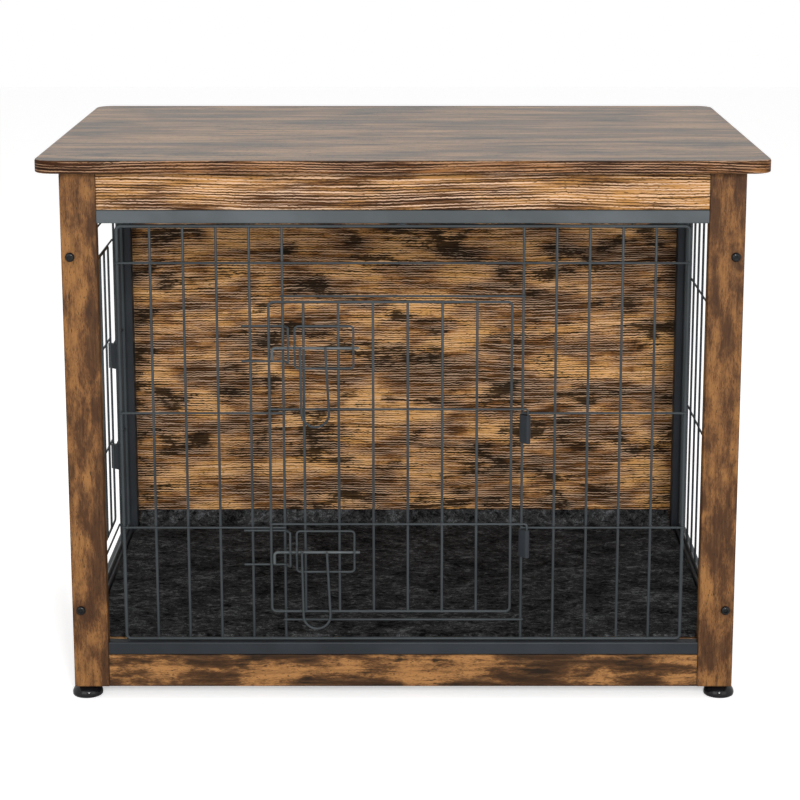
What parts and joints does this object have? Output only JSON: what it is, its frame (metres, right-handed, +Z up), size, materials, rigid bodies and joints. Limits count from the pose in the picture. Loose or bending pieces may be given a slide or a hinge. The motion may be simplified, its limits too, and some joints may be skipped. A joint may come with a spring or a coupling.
{
  "type": "dog crate end table",
  "caption": "Wood-topped end table built as a wire dog crate, with bolted wire doors in the front and one side and a felt floor mat.",
  "frame": {"origin": "centre of the table's outline on the floor under the feet", "axes": "+X right seen from the front, +Y to the back, +Z up"},
  "size_m": [0.825, 0.57, 0.642],
  "materials": {
    "top_wood": "matt printed board, grey-brown plank grain",
    "frame_wood": "matt board with rustic brown grain",
    "coated_steel": "dark grey satin powder coat",
    "black_metal": "black oxide screw heads",
    "black_plastic": "moulded, glossy",
    "felt": "short felt, mottled charcoal"
  },
  "bodies": {
    "crate": {"back_board": "frame_wood", "felt_mat": "felt", "floor_bearer_front": "coated_steel", "floor_bearer_middle": "coated_steel", "floor_bearer_rear": "coated_steel", "floor_board": "frame_wood", "front_bottom_bar": "coated_steel", "front_bottom_rail": "frame_wood", "front_hinge_clip_lower": "coated_steel", "front_hinge_clip_upper": "coated_steel", "front_stile_left": "frame_wood", "front_stile_right": "frame_wood", "front_top_bar": "coated_steel", "front_top_rail": "frame_wood", "front_upright_left": "coated_steel", "front_upright_right": "coated_steel", "front_wire_panel": "coated_steel", "left_bottom_bar": "coated_steel", "left_bottom_rail": "frame_wood", "left_hinge_clip_lower": "coated_steel", "left_hinge_clip_upper": "coated_steel", "left_top_bar": "coated_steel", "left_top_rail": "frame_wood", "left_wire_panel": "coated_steel", "rear_upright_left": "coated_steel", "rear_upright_right": "coated_steel", "right_bottom_bar": "coated_steel", "right_bottom_rail": "frame_wood", "right_top_bar": "coated_steel", "right_top_rail": "frame_wood", "right_wire_panel": "coated_steel", "screw_front_left_lower": "black_metal", "screw_front_left_upper": "black_metal", "screw_front_right_lower": "black_metal", "screw_front_right_upper": "black_metal", "screw_rear_left_lower": "black_metal", "screw_rear_left_upper": "black_metal", "screw_rear_right_lower": "black_metal", "screw_rear_right_upper": "black_metal", "top_board": "top_wood"},
    "front_door": {"front_door_grille": "coated_steel"},
    "front_upper_bolt": {"front_bolt_upper_rod": "coated_steel"},
    "front_upper_handle": {"front_bolt_upper_hook": "coated_steel", "front_bolt_upper_handle": "coated_steel"},
    "front_lower_bolt": {"front_bolt_lower_rod": "coated_steel"},
    "front_lower_handle": {"front_bolt_lower_hook": "coated_steel", "front_bolt_lower_handle": "coated_steel"},
    "left_door": {"left_door_grille": "coated_steel"},
    "left_upper_bolt": {"left_bolt_upper_rod": "coated_steel"},
    "left_upper_handle": {"left_bolt_upper_hook": "coated_steel", "left_bolt_upper_handle": "coated_steel"},
    "left_lower_bolt": {"left_bolt_lower_rod": "coated_steel"},
    "left_lower_handle": {"left_bolt_lower_hook": "coated_steel", "left_bolt_lower_handle": "coated_steel"},
    "front_left_foot": {"foot_front_left": "black_plastic"},
    "front_right_foot": {"foot_front_right": "black_plastic"},
    "rear_left_foot": {"foot_rear_left": "black_plastic"},
    "rear_right_foot": {"foot_rear_right": "black_plastic"}
  },
  "joints": [
    {"name": "front_door_hinge", "type": "hinge", "parent": "crate", "child": "front_door", "pos_m": [0.1435, -0.2598, 0.28], "axis": [0, 0, 1], "range_deg": [0, 160]},
    {"name": "front_upper_bolt_slide", "type": "slide", "parent": "front_door", "child": "front_upper_bolt", "axis": [1, 0, 0], "range_m": [0, 0.0225]},
    {"name": "front_upper_handle_turn", "type": "hinge", "parent": "front_upper_bolt", "child": "front_upper_handle", "pos_m": [-0.1, -0.26085, 0.42384], "axis": [-1, 0, 0], "range_deg": [0, 165]},
    {"name": "front_lower_bolt_slide", "type": "slide", "parent": "front_door", "child": "front_lower_bolt", "axis": [1, 0, 0], "range_m": [0, 0.0225]},
    {"name": "front_lower_handle_turn", "type": "hinge", "parent": "front_lower_bolt", "child": "front_lower_handle", "pos_m": [-0.1, -0.26085, 0.18104], "axis": [-1, 0, 0], "range_deg": [0, 165]},
    {"name": "left_door_hinge", "type": "hinge", "parent": "crate", "child": "left_door", "pos_m": [-0.3868, 0.1435, 0.28], "axis": [0, 0, -1], "range_deg": [0, 160]},
    {"name": "left_upper_bolt_slide", "type": "slide", "parent": "left_door", "child": "left_upper_bolt", "axis": [0, 1, 0], "range_m": [0, 0.0225]},
    {"name": "left_upper_handle_turn", "type": "hinge", "parent": "left_upper_bolt", "child": "left_upper_handle", "pos_m": [-0.38785, -0.1, 0.42384], "axis": [0, 1, 0], "range_deg": [0, 165]},
    {"name": "left_lower_bolt_slide", "type": "slide", "parent": "left_door", "child": "left_lower_bolt", "axis": [0, 1, 0], "range_m": [0, 0.0225]},
    {"name": "left_lower_handle_turn", "type": "hinge", "parent": "left_lower_bolt", "child": "left_lower_handle", "pos_m": [-0.38785, -0.1, 0.18104], "axis": [0, 1, 0], "range_deg": [0, 165]},
    {"name": "front_left_foot_turn", "type": "hinge", "parent": "crate", "child": "front_left_foot", "pos_m": [-0.3745, -0.2397, 0.008], "axis": [0, 0, 1], "continuous": true},
    {"name": "front_right_foot_turn", "type": "hinge", "parent": "crate", "child": "front_right_foot", "pos_m": [0.3745, -0.2397, 0.008], "axis": [0, 0, 1], "continuous": true},
    {"name": "rear_left_foot_turn", "type": "hinge", "parent": "crate", "child": "rear_left_foot", "pos_m": [-0.3745, 0.2397, 0.008], "axis": [0, 0, 1], "continuous": true},
    {"name": "rear_right_foot_turn", "type": "hinge", "parent": "crate", "child": "rear_right_foot", "pos_m": [0.3745, 0.2397, 0.008], "axis": [0, 0, 1], "continuous": true}
  ]
}
